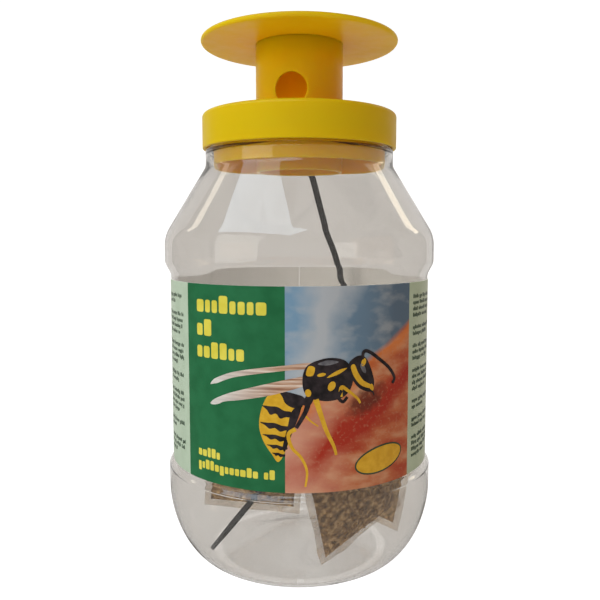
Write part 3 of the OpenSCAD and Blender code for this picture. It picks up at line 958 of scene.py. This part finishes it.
def tie():
    """The tie's strap with its fine teeth, and its narrower ridged tail."""
    pts = [Vector(p) for p in ROUTE]
    line = []
    for i in range(len(pts) - 1):
        a, b, c, d = (pts[min(max(k, 0), len(pts) - 1)] for k in (i - 1, i, i + 1, i + 2))
        n = max(4, round((c - b).length / STEP))
        line += [spline(a, b, c, d, k / n) for k in range(n)]
    line.append(pts[-1])
    flat = unit((0.62, -0.75, 0.15))
    rings, last = [], len(line) - 1
    for i, p in enumerate(line):
        d = (line[min(i + 1, last)] - line[max(i - 1, 0)]).normalized()
        side = across(d, flat)
        up = d.cross(side)
        left_over = last - i
        w = STRAP_HALF * (1 if left_over > TAPER else 0.52 + 0.48 * left_over / TAPER)
        h = STRAP_UP
        tooth = h - 0.22 + (0.16 if i % 2 and 12 < i else 0.0)
        if left_over < TAIL:
            tooth = h + (0.2 if i % 4 < 2 else 0.0)
        rings.append([p + side * sx * w + up * sz
                      for sx, sz in ((-1, -h), (1, -h), (1, h), (0.62, h), (0.56, tooth), (-0.56, tooth),
                                     (-0.62, h), (-1, h))])
    return loft(rings)


head_turn = (Matrix.Translation(Vector(ROUTE[0]) + Vector((-0.6, -0.4, 2.6)))
             @ Matrix.Rotation(math.radians(-50), 4, "Z") @ Matrix.Rotation(math.radians(-21), 4, "Y"))
OUTLINE = ((-1, -0.8), (-0.85, -1), (0.85, -1), (1, -0.8), (1, 0.8), (0.85, 1), (-0.85, 1), (-1, 0.8))
rings = []
for h, k in ((-3.1, 0.8), (-2.7, 0.97), (-2.2, 1), (2.2, 1), (2.9, 0.93), (3.2, 0.8)):
    rings.append([tuple(head_turn @ Vector((sx * 2.9 * k, sy * 2.2 * k, h))) for sx, sy in OUTLINE])
head = loft(rings)
slot_ring = [[tuple(head_turn @ Vector((sx * 1.75, sy, 0.4 + sz * 0.75)))
              for sx, sz in ((-1, -1), (1, -1), (1, 1), (-1, 1))] for sy in (-4, 4)]
head_obj = loose("tie_head", *head)
boolean(head_obj, loose("tie_slot", *loft(slot_ring)))
finish_piece(head_obj, NYLON, "jar_body", "black_nylon")
piece("tie_strap", *tie(), NYLON, "jar_body", "black_nylon", "cable_tie", smooth=30)

# ---------------------------------------------------------------- stage and light


def stage_piece(name, verts, faces):
    """A white part of the stage, which gives no light to matt pieces and isn't mirrored in gloss."""
    mesh = bpy.data.meshes.new(name)
    mesh.from_pydata(verts, [], faces)
    mesh.materials.append(pale())
    mesh.shade_smooth()
    obj = bpy.data.objects.new(name, mesh)
    scene.collection.objects.link(obj)
    obj.visible_diffuse = obj.visible_glossy = False
    return obj


SWEEP_Y, SWEEP_R, HALF_WIDTH, WALL_TOP, SURROUND_R = 0.6, 0.8, 3.0, 3.0, 4.0
floor_profile = (
    [(y, 0.0) for y in (-2.5, -0.6, SWEEP_Y)]
    + arc(SWEEP_Y, SWEEP_R, SWEEP_R, -84, 0, 14)
    + [(SWEEP_Y + SWEEP_R, WALL_TOP)]
)
stage_piece("floor", [(x, y, z) for y, z in floor_profile for x in (-HALF_WIDTH, HALF_WIDTH)],
            [(2 * i, 2 * i + 1, 2 * i + 3, 2 * i + 2) for i in range(len(floor_profile) - 1)])

# a far white surround, so that views from behind have the same pale ground; it casts no shade
bm = bmesh.new()
bmesh.ops.create_icosphere(bm, subdivisions=4, radius=SURROUND_R)
bm.verts.index_update()
surround = stage_piece("surround", [tuple(v.co) for v in bm.verts],
                       [tuple(v.index for v in f.verts) for f in bm.faces])
bm.free()
surround.data.materials[0].cycles.emission_sampling = "NONE"
surround.visible_shadow = surround.visible_volume_scatter = False


def area(name, at, aim, size, power, color, glossy=True, seen=True, diffuse=True):
    """A soft light; the flags say whether gloss, the camera and clear pieces, and matt pieces see it."""
    data = bpy.data.lights.new(name, "AREA")
    data.shape, data.size, data.size_y = "RECTANGLE", size[0], size[1]
    data.energy, data.color = power, color
    obj = bpy.data.objects.new(name, data)
    obj.location = at
    obj.rotation_euler = (Vector(aim) - Vector(at)).to_track_quat("-Z", "Y").to_euler()
    obj.visible_glossy, obj.visible_diffuse = glossy, diffuse
    obj.visible_camera = obj.visible_transmission = seen
    scene.collection.objects.link(obj)


UNSEEN = {"glossy": False, "seen": False}
area("key_window", (-0.42, -0.46, 0.92), (0, 0, 0.12), (1.15, 0.45), 4.0, (0.72, 0.86, 1.0))
area("left_softbox", (-1.3, -1.0, 0.5), (0, 0, 0.11), (1.2, 1.2), 13, (0.97, 1.0, 0.98), glossy=False)
area("right_fill", (1.2, -0.6, 0.3), (0, 0, 0.12), (0.9, 0.9), 1.7, (1.0, 0.5, 0.14), glossy=False)
area("right_strip", (0.72, 0.42, 0.66), (0, 0, 0.15), (0.13, 0.5), 0.5, (1.0, 0.88, 0.66))
area("left_strip", (-0.73, 0.32, 0.75), (0, 0, 0.15), (0.10, 0.5), 0.3, (1.0, 0.9, 0.72))
area("backdrop_glow", (0, 1.25, 0.45), (0, 0, 0.2), (2.0, 1.2), 11, (1.0, 0.95, 0.88), **UNSEEN)
area("table_glow", (0, -0.1, 0.003), (0, -0.1, 1), (1.2, 1.2), 2.4, (1.0, 0.95, 0.86), **UNSEEN)
area("backdrop_sheen", (0, 1.3, 0.5), (0, 0, 0.2), (3.2, 2.2), 9.5, (1.0, 0.98, 0.96),
     seen=False, diffuse=False)

world = bpy.data.worlds.new("world")
scene.world = world
world.use_nodes = True
ambient = world.node_tree.nodes["Background"].inputs
ambient["Color"].default_value = (0.95, 0.86, 0.76, 1)
ambient["Strength"].default_value = 0.22
